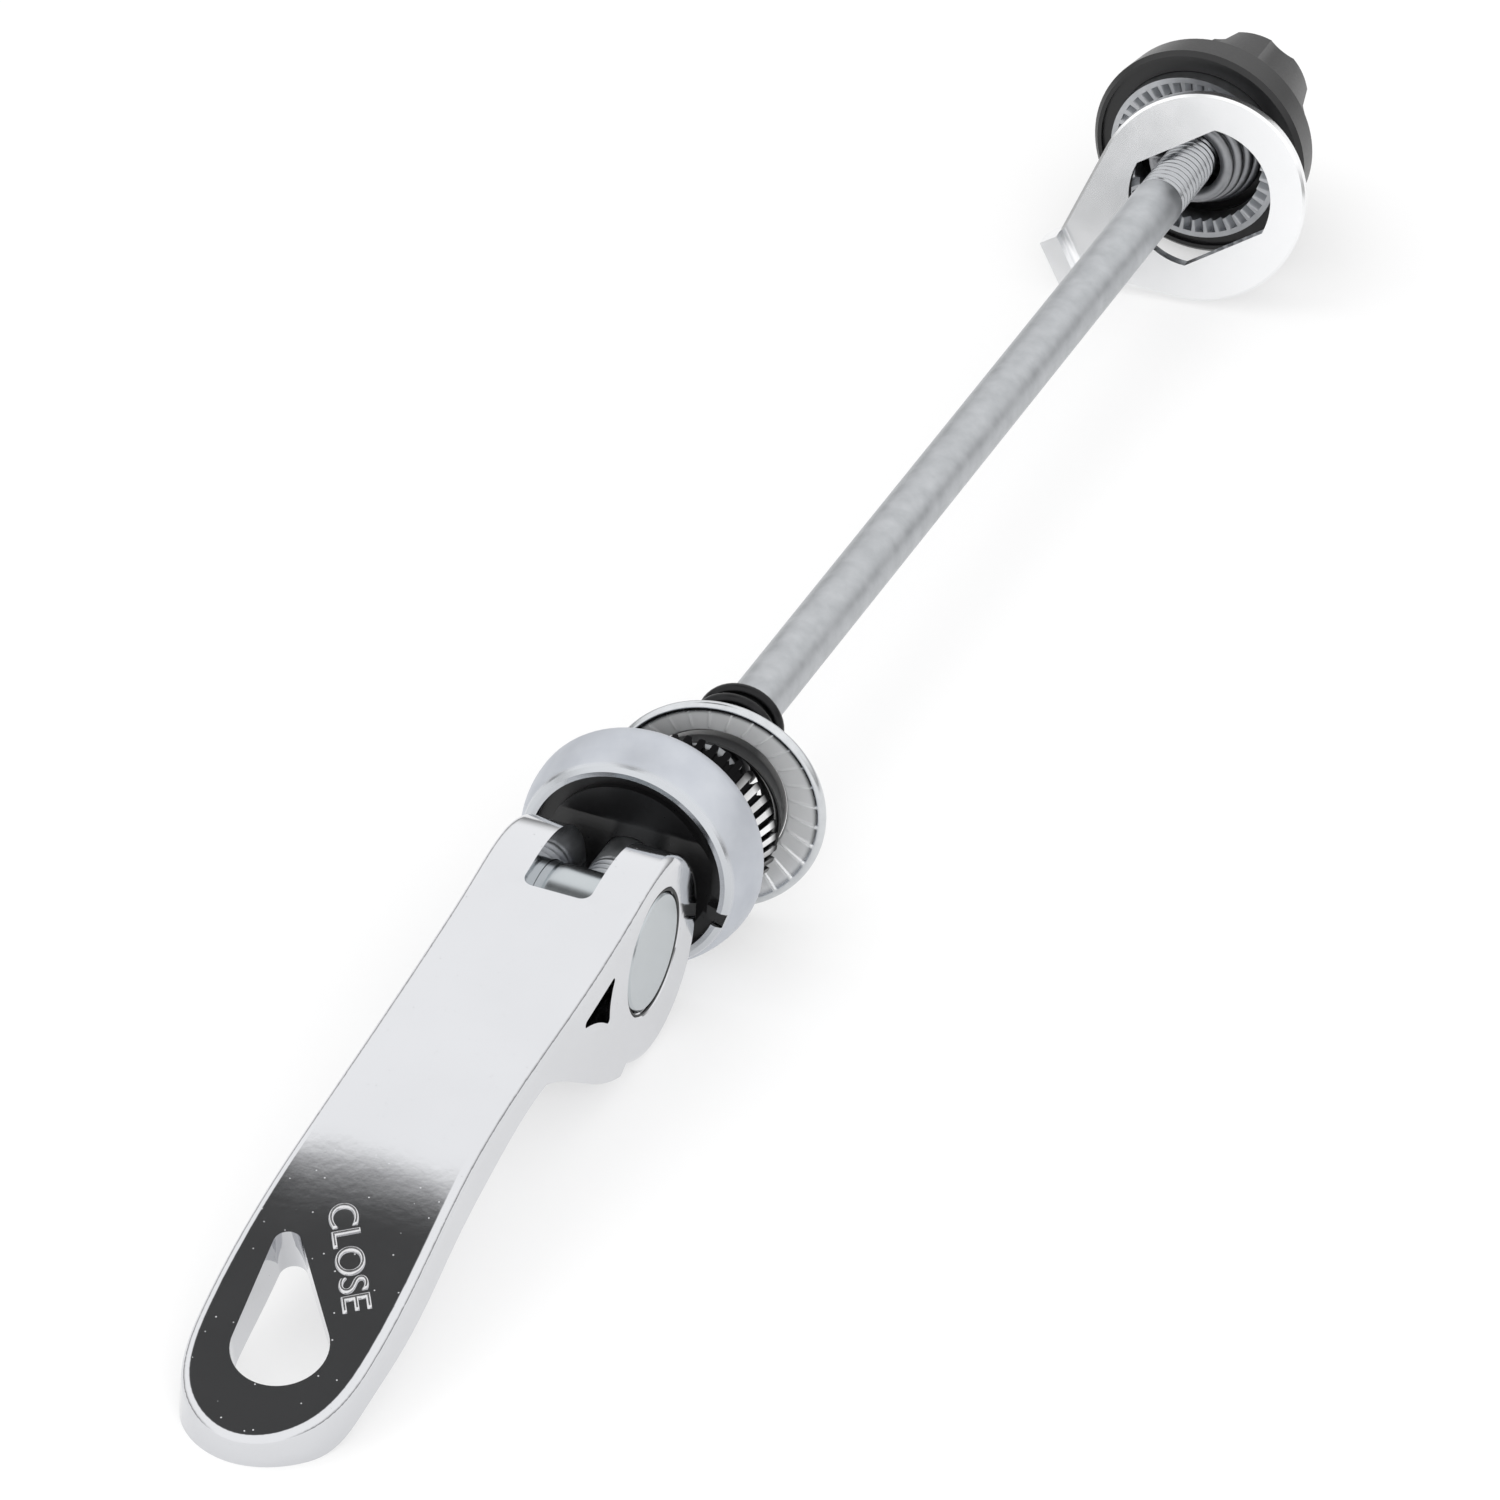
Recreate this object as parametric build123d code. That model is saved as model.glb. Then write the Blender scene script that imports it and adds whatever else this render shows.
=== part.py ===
"""Bicycle quick release skewer, lying on a table with the lever straight out.

A steel rod runs along X from the cam lever (-X end) to the thumb nut (+X end).
Every piece is drawn with the lever's pivot at the origin and the rod along X,
and is then placed so that the whole skewer rests on Z = 0.
"""
from build123d import *
import os
from math import atan, cos, degrees, radians, sin, sqrt

# Fits and clearances
RUN_CLEAR = 0.08
THREAD_CLEAR = 0.04
SEAT_CLEAR = 0.05
KEY_CLEAR = 0.12
SEAT_SIDE_CLEAR = 0.25

# Lever head: two cam ears round the cross barrel
HEAD_HALF_W = 7.67
BARREL_R = 5.57
BARREL_INSET = 0.05
BARREL_CHAMFER = 0.3
BARREL_GROOVE_Y = 2.3
BARREL_GROOVE_W = 0.3
BARREL_GROOVE_D = 0.25
CAM_R = 9.55
CAM_DX = 1.0
CAM_DZ = -1.45
SLOT_HALF_W = 3.2
SLOT_END_X = -5.4
SLOT_CORNER_R = 1.0
EAR_HOLE_CHAMFER = 0.35

# Lever handle: side line (x, z) and half width along it
TOP_JOIN_X = 2.0
TOP_LINE = [(-6.0, 7.0), (-24.0, 4.25), (-44.0, 0.95), (-56.0, -2.9)]
TIP_X = -72.6
TIP_TOP_Z = -8.7
TIP_RUNOUT = 3.0
FOOT_X = -69.5
UNDER_LINE = [(-63.0, -9.4), (-56.0, -7.7), (-50.0, -6.1), (-44.0, -4.1), (-36.0, -2.0)]
STRUT_ROOT = (-24.0, 0.25)
STRUT_LINE = [(-18.0, -3.0), (-12.5, -6.5)]
STRUT_END = (-6.3, -9.35)
CAM_STOP_X = -5.2
HEAD_END_X = -12.0
WAIST_X = -40.0
WAIST_HALF_W = 7.65
PADDLE_X = -61.0
PADDLE_HALF_W = 8.15
PADDLE_SHOULDER = (-69.4, 5.9)
EDGE_R = 0.9

# Window between the ear's ring and the handle, seen from the side (x, z)
WINDOW_TOP = (-8.9, 3.0)
WINDOW_LOW = (-9.7, -2.0)
WINDOW_FAR = (-17.2, 1.5)
WINDOW_RIGHT_BULGE = (-9.95, 0.6)
WINDOW_LOW_BULGE = (-13.2, 0.3)
WINDOW_CORNER_R = 0.35

# Hanging hole in the paddle: a round end and a narrow end (x, y)
HOLE_ROUND = (-61.7, 0.0)
HOLE_ROUND_R = 4.25
HOLE_NARROW = (-51.5, 3.75)
HOLE_NARROW_R = 1.25
HOLE_LEAN = 21.0

# Lever cup: a pressed shell whose rim faces the cam
CUP_GAP = 0.9
CUP_DEPTH = 6.95
CUP_RIM_R = 9.95
CUP_RIM_WALL = 0.75
CUP_BULGE = 1.35
CUP_MAX_AT = 4.7
CUP_WALL = 0.85
CUP_MOUTH_STEP = 1.0
CUP_LIP = 0.65
CUP_RIM_BEVEL = 0.3

# Saddle in the cup, with the seat for the cam ears and a key at the rim
SADDLE_SETBACK = 0.45
SADDLE_LEDGE = 1.3
SADDLE_STEP = 0.7
SADDLE_CORNER = 0.5
SADDLE_BACK_GAP = 0.25
SEAT_DEPTH = 1.0
SEAT_R = 10.2
KEY_ANGLE = 197.0
KEY_W = 1.3
KEY_LEN = 1.7
KEY_STANDOUT = 0.2

# Toothed grip rings: one hangs to one side in the cup's mouth, one is fixed in the nut
RING_TEETH = 40
TOOTH_DEPTH = 0.7
TOOTH_LAND = 0.3
TOOTH_OVERRUN = 0.3
CUP_RING_STANDOUT = 4.0
CUP_RING_COLLAR = 0.3
CUP_RING_WALL = 0.35
CUP_RING_STEP = 0.5
CUP_RING_FLARE = 0.95
CUP_RING_SIDE = 189.0
CUP_RING_CLEAR = 0.16
FLUTE_DEPTH = 0.4
NUT_RING_BORE = 6.9
NUT_RING_R = 8.68
NUT_RING_RIM = 0.55
NUT_RING_STANDOUT = 1.05
NUT_RING_SEAT = 1.3

# Rod
ROD_R = 2.5
ROD_TAIL = 4.0
LEVER_THREAD_END = 9.0
NUT_THREAD_LEN = 17.6
ROD_IN_NUT = 6.7
THREAD_RELIEF = 0.05
ROD_END_CHAMFER = 0.6

# Conical springs: the wide end sits on the cup's saddle or in the nut, the narrow end runs on the rod
WIRE_R = 0.62
WIRE_SIDES = 6
WIRE_STEPS = 18
SPRING_ROD_CLEAR = 0.35
LEVER_SPRING_TAPER = 0.45
LEVER_SPRING_LEN = 21.8
LEVER_SPRING_TURNS = 7.0
NUT_SPRING_CLEAR = 0.55
NUT_SPRING_LEN = 5.0
NUT_SPRING_TURNS = 3.5

# Dished washer, loose round the lever spring
DISH_GAP = 3.5
DISH_CLEAR = 0.1
DISH_LEAN_Y = -0.136
DISH_LEAN_Z = 0.052
DISH_R = 10.4
DISH_FACE_W = 3.0
DISH_T = 0.8
DISH_DISHING = 0.8
DISH_BEAD_R = 0.55
DISH_BEAD_SIDES = 8
DISH_RIDGES = 30
RIDGE_W = 0.3
RIDGE_H = 0.15
RIDGE_INSET = 0.15

# Hook washer, loose on the rod and leaning on the nut
HOOK_GAP = 5.25
HOOK_CLEAR = 0.2
HOOK_LEAN_Y = -0.18
HOOK_LEAN_Z = 0.26
HOOK_SPIN = -34.5
HOOK_R = 10.4
HOOK_T = 1.8
HOOK_BORE = 7.0
HOOK_FLAT = 5.6
HOOK_NOSE_START = 14.0
HOOK_NOSE_END = 15.8
HOOK_NOSE_HALF_W = 2.4
HOOK_TAB_LEN = 2.6
HOOK_BEND_R = 0.6
HOOK_EDGE = 0.25

# Thumb nut
NUT_FACE_X = 157.3
NUT_FLANGE_R = 11.0
NUT_FLANGE_T = 4.6
NUT_FLANGE_TAPER = 0.6
NUT_BEVEL = 0.5
NUT_LIP_W = 0.9
NUT_LIP_D = 0.4
NUT_WELL_DEPTH = 3.2
NUT_WELL_STEP = 0.5
KNOB_LEN = 11.5
KNOB_BASE_R = 8.4
KNOB_TIP_R = 5.8
KNOB_BEVEL = 1.2
KNOB_SCALLOPS = 6
SCALLOP_R = 2.6
SCALLOP_DEPTH = 0.8
SCALLOP_START = 1.2
NUT_END_WALL = 1.4
INSERT_COVER = 1.6
INSERT_CHAMFER = 0.4

# Stations along the rod, and the radii that follow from the fits
CUP_RIM_X = CAM_DX + CAM_R + CUP_GAP
CUP_FRONT_X = CUP_RIM_X + CUP_DEPTH
SADDLE_BACK_X = CUP_FRONT_X - CUP_WALL - SADDLE_BACK_GAP
CUP_RING_FACE_X = CUP_FRONT_X + CUP_RING_STANDOUT
NUT_RING_FACE_X = NUT_FACE_X - NUT_RING_STANDOUT
NUT_WELL_X = NUT_FACE_X + NUT_WELL_DEPTH
KNOB_X = NUT_FACE_X + NUT_FLANGE_T
NUT_END_X = KNOB_X + KNOB_LEN
INSERT_END_X = NUT_END_X - NUT_END_WALL
ROD_END = NUT_FACE_X + ROD_IN_NUT
THREAD_R = ROD_R - THREAD_RELIEF
CUP_RIM_BORE = CUP_RIM_R - CUP_RIM_WALL
CUP_MAX_R = CUP_RIM_R + CUP_BULGE
CUP_MOUTH_R = CUP_RIM_R - CUP_MOUTH_STEP
SADDLE_STEP_R = CUP_RIM_BORE - SADDLE_LEDGE
SPRING_NARROW_R = ROD_R + WIRE_R + SPRING_ROD_CLEAR
LEVER_SPRING_R = SPRING_NARROW_R + LEVER_SPRING_TAPER
NUT_SPRING_R = NUT_RING_BORE - WIRE_R - NUT_SPRING_CLEAR
NUT_FLANGE_BACK_R = NUT_FLANGE_R - NUT_FLANGE_TAPER
NUT_WELL_R = NUT_RING_BORE + NUT_WELL_STEP
INSERT_R = KNOB_TIP_R - INSERT_COVER
DISH_BORE = DISH_R - DISH_FACE_W

# The cup's ring hangs over as far as the spring inside it and the cup's mouth round it allow
RING_INNER_STOP = LEVER_SPRING_R + WIRE_R + CUP_RING_CLEAR
RING_OUTER_STOP = CUP_MOUTH_R - SEAT_CLEAR - CUP_RING_WALL
CUP_RING_SHIFT = (RING_OUTER_STOP - RING_INNER_STOP) / 2
CUP_RING_BORE = RING_INNER_STOP + CUP_RING_SHIFT
CUP_RING_COLLAR_R = CUP_RING_BORE + CUP_RING_WALL
CUP_RING_WAIST_R = CUP_RING_COLLAR_R + CUP_RING_STEP
CUP_RING_FLARE_R = CUP_RING_WAIST_R + CUP_RING_FLARE

# Placing: the cup and the lever's tip rest on Z = 0, the box is centred in X
AXIS_Z = max(CUP_MAX_R, NUT_FLANGE_R, CAM_R - CAM_DZ)
PLACE = Location((-(TIP_X + NUT_END_X) / 2, 0, AXIS_Z))


def turned(points, bevels=()):
    """Solid of revolution about X from an outline of (x, r) points, some corners bevelled."""
    outline = make_face(Polyline(*points, close=True))
    for x, r, size in bevels:
        corner = outline.vertices().sort_by_distance((x, r, 0))[0]
        outline = chamfer(corner, size)
    return revolve(Plane.XZ * outline, Axis.X)


def rod_along_x(x0, x1, radius):
    """Round bar on the X axis from x0 to x1."""
    return Pos((x0 + x1) / 2, 0, 0) * Rot(0, 90, 0) * Cylinder(radius, x1 - x0)


def hung(x, radius, room, lean_y, lean_z, body):
    """Set a loose washer at x, off the rod's axis by its hole's room and as low as the table lets it be.

    It leans: x grows by lean_y and lean_z per mm.
    """
    drop = max(radius - AXIS_Z, -room)
    aside = -sqrt(room ** 2 - drop ** 2)
    seat = Plane(origin=(x, aside, drop), x_dir=(1, -lean_y, -lean_z), z_dir=(lean_z, 0, 1))
    return seat * body


def tooth_gaps(face_x, way, bore, end_r):
    """V gaps between the radial teeth of a ring's face, cut from face_x in the way of X, from bore to end_r."""
    start_r = bore - TOOTH_OVERRUN
    pitch = radians(360 / RING_TEETH) * (bore + end_r) / 2
    half = (pitch - TOOTH_LAND) / 2
    wide = half * (1 + TOOTH_OVERRUN / TOOTH_DEPTH)
    section = make_face(Polyline((-wide, -TOOTH_OVERRUN), (wide, -TOOTH_OVERRUN), (0, TOOTH_DEPTH), close=True))
    plane = Plane(origin=(face_x, start_r, 0), x_dir=(0, 0, way), z_dir=(0, 1, 0))
    gap = extrude(plane * section, end_r - start_r)
    return [Rot(360 / RING_TEETH * i, 0, 0) * gap for i in range(RING_TEETH)]


def fluted_outline(x, crest_r):
    """Outline across X with one flute per ring tooth."""
    step = radians(360 / RING_TEETH)
    root_r = crest_r - FLUTE_DEPTH
    points = []
    for i in range(RING_TEETH):
        for radius, part in ((root_r, -0.2), (root_r, 0.2), (crest_r, 0.25), (crest_r, 0.75)):
            angle = step * (i + part)
            points.append((radius * cos(angle), radius * sin(angle)))
    return Plane.YZ.offset(x) * make_face(Polyline(*points, close=True))


def cone_spring(wide_r, length, turns):
    """Conical wire spring from its wide end at x = 0 to its narrow end, in short straight steps."""
    taper = degrees(atan((SPRING_NARROW_R - wide_r) / length))
    path = Helix(length / turns, length, wide_r, direction=(1, 0, 0), cone_angle=taper)
    wire = RegularPolygon(WIRE_R, WIRE_SIDES)
    steps = round(turns * WIRE_STEPS)
    sections = []
    for i in range(steps + 1):
        across = Plane(origin=path @ (i / steps), x_dir=(1, 0, 0), z_dir=path % (i / steps))
        sections.append(across * wire)
    return loft(sections, ruled=True)


def skewer_rod():
    """Rod with a threaded end in the barrel and a threaded end in the nut."""
    nut_thread_x = ROD_END - NUT_THREAD_LEN
    points = [
        (-ROD_TAIL, 0), (-ROD_TAIL, THREAD_R - ROD_END_CHAMFER), (-ROD_TAIL + ROD_END_CHAMFER, THREAD_R),
        (LEVER_THREAD_END, THREAD_R), (LEVER_THREAD_END + THREAD_RELIEF, ROD_R),
        (nut_thread_x - THREAD_RELIEF, ROD_R), (nut_thread_x, THREAD_R),
        (ROD_END - ROD_END_CHAMFER, THREAD_R), (ROD_END, THREAD_R - ROD_END_CHAMFER), (ROD_END, 0),
    ]
    return turned(points)


def cam_barrel():
    """Cross barrel that the rod screws into and the lever turns on."""
    half = HEAD_HALF_W - BARREL_INSET
    barrel = Rot(90, 0, 0) * Cylinder(BARREL_R, 2 * half)
    ends = barrel.edges().filter_by(GeomType.CIRCLE)
    barrel = chamfer(ends, BARREL_CHAMFER)
    groove_r = BARREL_R - BARREL_GROOVE_D
    collar = Cylinder(BARREL_R + BARREL_GROOVE_D, BARREL_GROOVE_W) - Cylinder(groove_r, BARREL_GROOVE_W)
    for side in (-1, 1):
        barrel -= Pos(0, side * BARREL_GROOVE_Y, 0) * Rot(90, 0, 0) * collar
    return barrel - rod_along_x(-ROD_TAIL - SEAT_CLEAR, 2 * BARREL_R, THREAD_R + THREAD_CLEAR)


def lever_side():
    """Side outline of the lever: cam, top line, under line and strut, running out past the tip."""
    reach = TOP_JOIN_X - CAM_DX
    rise = sqrt(CAM_R ** 2 - reach ** 2)
    join = (TOP_JOIN_X, CAM_DZ + rise)
    stop = (CAM_STOP_X, CAM_DZ - sqrt(CAM_R ** 2 - (CAM_STOP_X - CAM_DX) ** 2))
    end_x = TIP_X - TIP_RUNOUT
    fall = (TIP_TOP_Z - TOP_LINE[-1][1]) / (TIP_X - TOP_LINE[-1][0])
    end = (end_x, TIP_TOP_Z - fall * TIP_RUNOUT)
    foot = (FOOT_X, -AXIS_Z)
    lines = [
        Spline(join, *TOP_LINE, (TIP_X, TIP_TOP_Z), end, tangents=[(-rise, reach), (-1, -fall)]),
        Polyline(end, (end_x, -AXIS_Z), foot),
        Spline(foot, *UNDER_LINE, STRUT_ROOT, tangents=[(1, 0), (1, 0)]),
        Spline(STRUT_ROOT, *STRUT_LINE, STRUT_END),
        Line(STRUT_END, stop),
        ThreePointArc(stop, (CAM_DX + CAM_R, CAM_DZ), join),
    ]
    return make_face(Curve() + lines)


def lever_plan():
    """Plan outline of the lever: straight head, slight waist, paddle with a round tip."""
    front = CAM_DX + CAM_R + EDGE_R
    head = (HEAD_END_X, HEAD_HALF_W)
    side = Spline(head, (WAIST_X, WAIST_HALF_W), (PADDLE_X, PADDLE_HALF_W), PADDLE_SHOULDER, (TIP_X, 0),
                  tangents=[(-1, 0), (0, -1)])
    half = Curve() + [Line((front, 0), (front, HEAD_HALF_W)), Line((front, HEAD_HALF_W), head), side]
    return make_face(half + mirror(half, Plane.XZ))


def lever():
    """Cast lever: cam ears, slot for the rod, ring windows and a paddle with a hanging hole."""
    span = 4 * AXIS_Z
    wide = PADDLE_HALF_W + HEAD_HALF_W
    body = extrude(Plane.XZ.offset(-wide) * lever_side(), 2 * wide)
    body &= extrude(Pos(0, 0, -span / 2) * lever_plan(), span)
    top = body.faces().sort_by(Axis.Z)[-1]
    cam = body.faces().filter_by(GeomType.CYLINDER)[0]
    rims = ShapeList(top.edges() + cam.edges()).filter_by(Axis.Y, reverse=True)
    body = fillet(rims, EDGE_R)
    slot = Pos(SLOT_END_X + span / 2, 0, 0) * Box(span, 2 * SLOT_HALF_W, span)
    slot = fillet(slot.edges().filter_by(Axis.Z).group_by(Axis.X)[0], SLOT_CORNER_R)
    body -= slot
    body -= Rot(90, 0, 0) * Cylinder(BARREL_R + RUN_CLEAR, span)
    mouth = Cone(BARREL_R + RUN_CLEAR, BARREL_R + RUN_CLEAR + EAR_HOLE_CHAMFER, EAR_HOLE_CHAMFER)
    for turn in (90, -90):
        body -= Rot(turn, 0, 0) * Pos(0, 0, HEAD_HALF_W - EAR_HOLE_CHAMFER / 2) * mouth
    body -= extrude(Plane.XZ * window_outline(), wide, both=True)
    return body - hanging_hole()


def window_outline():
    """Curved triangle between the ear's ring, the handle and the strut."""
    outline = make_face(Curve() + [
        Line(WINDOW_FAR, WINDOW_TOP),
        ThreePointArc(WINDOW_TOP, WINDOW_RIGHT_BULGE, WINDOW_LOW),
        ThreePointArc(WINDOW_LOW, WINDOW_LOW_BULGE, WINDOW_FAR),
    ])
    return fillet(outline.vertices(), WINDOW_CORNER_R)


def hanging_hole():
    """Tear-drop hole through the paddle, square to its slope."""
    narrow = Pos(*HOLE_NARROW) * Circle(HOLE_NARROW_R)
    wide = Pos(*HOLE_ROUND) * Circle(HOLE_ROUND_R)
    drop = make_hull(narrow.edges() + wide.edges())
    middle = Location((HOLE_ROUND[0], 0, TIP_TOP_Z))
    return middle * Rot(0, -HOLE_LEAN, 0) * Pos(-HOLE_ROUND[0], 0, 0) * extrude(drop, AXIS_Z, both=True)


def rim_key(side_room):
    """Key block at the cup's rim, wider by side_room on each side."""
    inner = SADDLE_STEP_R
    outer = CUP_RIM_R + KEY_STANDOUT
    start = CUP_RIM_X + SADDLE_SETBACK - side_room
    end = CUP_RIM_X + KEY_LEN + side_room
    block = Box(end - start, outer - inner, KEY_W + 2 * side_room)
    return Rot(KEY_ANGLE, 0, 0) * Pos((start + end) / 2, (inner + outer) / 2, 0) * block


def cam_saddle():
    """Plastic saddle in the cup: a shallow seat for the cam ears, a bore for the rod and a rim key."""
    face = CUP_RIM_X + SADDLE_SETBACK
    step = face + SADDLE_STEP
    outer = CUP_RIM_BORE - SEAT_CLEAR
    bore = ROD_R + RUN_CLEAR
    points = [
        (face, bore), (face, SADDLE_STEP_R), (step, SADDLE_STEP_R), (step, outer),
        (SADDLE_BACK_X, outer), (SADDLE_BACK_X, bore),
    ]
    body = turned(points, [(SADDLE_BACK_X, outer, SADDLE_CORNER)])
    body += rim_key(0)
    seat = Rot(90, 0, 0) * Cylinder(SEAT_R, 2 * (HEAD_HALF_W + SEAT_SIDE_CLEAR))
    return body - Pos(face + SEAT_DEPTH - SEAT_R, 0, 0) * seat


def lever_cup():
    """Pressed steel cup: bulged wall, rolled-in front lip and a rim notch for the saddle's key."""
    widest = CUP_RIM_X + CUP_MAX_AT
    lip_back = CUP_FRONT_X - CUP_WALL
    outline = make_face(Curve() + [
        TangentArc((widest, CUP_MAX_R), (CUP_RIM_X, CUP_RIM_R), tangent=(-1, 0)),
        Line((CUP_RIM_X, CUP_RIM_R), (CUP_RIM_X, CUP_RIM_BORE)),
        Polyline((CUP_RIM_X, CUP_RIM_BORE), (widest, CUP_MAX_R - CUP_WALL), (lip_back, CUP_MOUTH_R + CUP_LIP),
                 (lip_back, CUP_MOUTH_R), (CUP_FRONT_X, CUP_MOUTH_R)),
        TangentArc((widest, CUP_MAX_R), (CUP_FRONT_X, CUP_MOUTH_R), tangent=(1, 0)),
    ])
    rim = outline.vertices().sort_by_distance((CUP_RIM_X, CUP_RIM_R, 0))[0]
    outline = chamfer(rim, CUP_RIM_BEVEL)
    notch = rim_key(KEY_CLEAR)
    open_rim = Pos(-SADDLE_SETBACK - KEY_CLEAR, 0, 0) * notch
    return revolve(Plane.XZ * outline, Axis.X) - notch - open_rim


def cup_ring():
    """Grip ring on the cup: a collar in the cup's mouth, a flared fluted skirt and face teeth."""
    collar_x = CUP_FRONT_X + CUP_RING_COLLAR
    collar = turned([
        (SADDLE_BACK_X, CUP_RING_BORE), (SADDLE_BACK_X, CUP_RING_COLLAR_R), (collar_x, CUP_RING_COLLAR_R),
        (collar_x, CUP_RING_BORE),
    ])
    skirt = loft([
        fluted_outline(collar_x, CUP_RING_WAIST_R), fluted_outline(CUP_RING_FACE_X, CUP_RING_FLARE_R),
    ], ruled=True)
    skirt -= rod_along_x(collar_x, CUP_RING_FACE_X, CUP_RING_BORE)
    skirt -= tooth_gaps(CUP_RING_FACE_X, -1, CUP_RING_BORE, CUP_RING_FLARE_R + TOOTH_OVERRUN)
    side = radians(CUP_RING_SIDE)
    return Pos(0, CUP_RING_SHIFT * cos(side), CUP_RING_SHIFT * sin(side)) * (collar + skirt)


def nut_ring():
    """Grip ring in the nut's face, with radial teeth towards the wheel."""
    back = NUT_FACE_X + NUT_RING_SEAT
    ring = turned([
        (NUT_RING_FACE_X, NUT_RING_BORE), (NUT_RING_FACE_X, NUT_RING_R), (back, NUT_RING_R), (back, NUT_RING_BORE),
    ])
    return ring - tooth_gaps(NUT_RING_FACE_X, 1, NUT_RING_BORE, NUT_RING_R - NUT_RING_RIM)


def lever_spring():
    """Spring with its wide end on the saddle and its narrow end round the rod."""
    spring = cone_spring(LEVER_SPRING_R, LEVER_SPRING_LEN, LEVER_SPRING_TURNS)
    return Pos(SADDLE_BACK_X + WIRE_R, 0, 0) * spring


def nut_spring():
    """Spring with its wide end in the nut's well and its narrow end round the rod."""
    spring = cone_spring(NUT_SPRING_R, NUT_SPRING_LEN, NUT_SPRING_TURNS)
    return Pos(NUT_WELL_X - WIRE_R, 0, 0) * Rot(0, 0, 180) * spring


def dish_washer():
    """Dished washer with a rolled rim and thin radial ridges, leaning round the lever spring."""
    bead_at = DISH_R - DISH_BEAD_R
    plate = make_face(Polyline(
        (0, bead_at), (DISH_DISHING, DISH_BORE), (DISH_DISHING + DISH_T, DISH_BORE), (DISH_T, bead_at), close=True
    ))
    bead = Pos(DISH_T / 2, bead_at) * RegularPolygon(DISH_BEAD_R, DISH_BEAD_SIDES)
    washer = revolve(Plane.XZ * (plate + bead), Axis.X)
    width = bead_at - DISH_BORE
    slope = degrees(atan(DISH_DISHING / width))
    length = width - DISH_BEAD_R - RIDGE_INSET
    middle = RIDGE_INSET + length / 2
    place = Pos(DISH_DISHING * (1 - middle / width), DISH_BORE + middle, 0) * Rot(0, 0, slope)
    ridge = place * Box(2 * RIDGE_H, length, RIDGE_W)
    washer += [Rot(360 / DISH_RIDGES * i, 0, 0) * ridge for i in range(DISH_RIDGES)]
    room = DISH_BORE - LEVER_SPRING_R - WIRE_R - DISH_CLEAR
    return hung(CUP_RING_FACE_X + DISH_GAP, DISH_R, room, DISH_LEAN_Y, DISH_LEAN_Z, washer)


def hook_washer():
    """Tear-drop washer with a double-D hole and a tab bent towards the lever, leaning on the nut."""
    nose = Pos(HOOK_NOSE_START / 2, 0) * Rectangle(HOOK_NOSE_START, 2 * HOOK_NOSE_HALF_W)
    outline = make_hull(Circle(HOOK_R).edges() + nose.edges())
    plate = extrude(Plane.YZ.offset(-HOOK_T / 2) * outline, HOOK_T)
    plate = chamfer(plate.faces().filter_by(Axis.X).edges(), HOOK_EDGE)
    face = HOOK_T / 2
    reach = -face - HOOK_TAB_LEN
    inside = HOOK_NOSE_END - HOOK_T
    start = HOOK_NOSE_START - HOOK_T
    bend = make_face(Polyline(
        (face, start), (face, HOOK_NOSE_END), (reach, HOOK_NOSE_END), (reach, inside), (-face, inside),
        (-face, start), close=True,
    ))
    for corner, radius in (((face, HOOK_NOSE_END), HOOK_BEND_R + HOOK_T / 2), ((-face, inside), HOOK_BEND_R)):
        bend = fillet(bend.vertices().sort_by_distance((*corner, 0))[0], radius)
    plate += extrude(Pos(0, 0, -HOOK_NOSE_HALF_W) * bend, 2 * HOOK_NOSE_HALF_W)
    hole = Circle(HOOK_BORE) & Rectangle(2 * HOOK_BORE, 2 * HOOK_FLAT)
    plate -= extrude(Plane.YZ.offset(-HOOK_T) * hole, 2 * HOOK_T)
    room = HOOK_FLAT - ROD_R - HOOK_CLEAR
    plate = Rot(HOOK_SPIN, 0, 0) * plate
    return hung(NUT_RING_FACE_X - HOOK_GAP, HOOK_R, room, HOOK_LEAN_Y, HOOK_LEAN_Z, plate)


def nut_body():
    """Thumb nut: wide flange with a lip, seat for the toothed ring, spring well and scalloped knob."""
    lip_r = NUT_FLANGE_R - NUT_LIP_W
    lip_x = NUT_FACE_X + NUT_LIP_D
    seat_x = NUT_FACE_X + NUT_RING_SEAT
    seat_r = NUT_RING_R + SEAT_CLEAR
    pocket_r = INSERT_R + SEAT_CLEAR
    points = [
        (NUT_FACE_X, lip_r), (NUT_FACE_X, NUT_FLANGE_R), (KNOB_X, NUT_FLANGE_BACK_R), (KNOB_X, KNOB_BASE_R),
        (NUT_END_X, KNOB_TIP_R), (NUT_END_X, 0), (INSERT_END_X, 0), (INSERT_END_X, pocket_r),
        (NUT_WELL_X, pocket_r), (NUT_WELL_X, NUT_WELL_R), (seat_x, NUT_WELL_R), (seat_x, seat_r),
        (lip_x, seat_r), (lip_x, lip_r),
    ]
    body = turned(points, [
        (NUT_FACE_X, NUT_FLANGE_R, NUT_BEVEL), (KNOB_X, NUT_FLANGE_BACK_R, NUT_BEVEL),
        (NUT_END_X, KNOB_TIP_R, KNOB_BEVEL),
    ])
    lean = degrees(atan((KNOB_BASE_R - KNOB_TIP_R) / KNOB_LEN))
    groove = Rot(0, 0, -lean) * rod_along_x(0, 2 * KNOB_LEN, SCALLOP_R)
    scallop = Pos(KNOB_X + SCALLOP_START, KNOB_BASE_R + SCALLOP_R - SCALLOP_DEPTH, 0) * groove
    return body - [Rot(360 / KNOB_SCALLOPS * i, 0, 0) * scallop for i in range(KNOB_SCALLOPS)]


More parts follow.
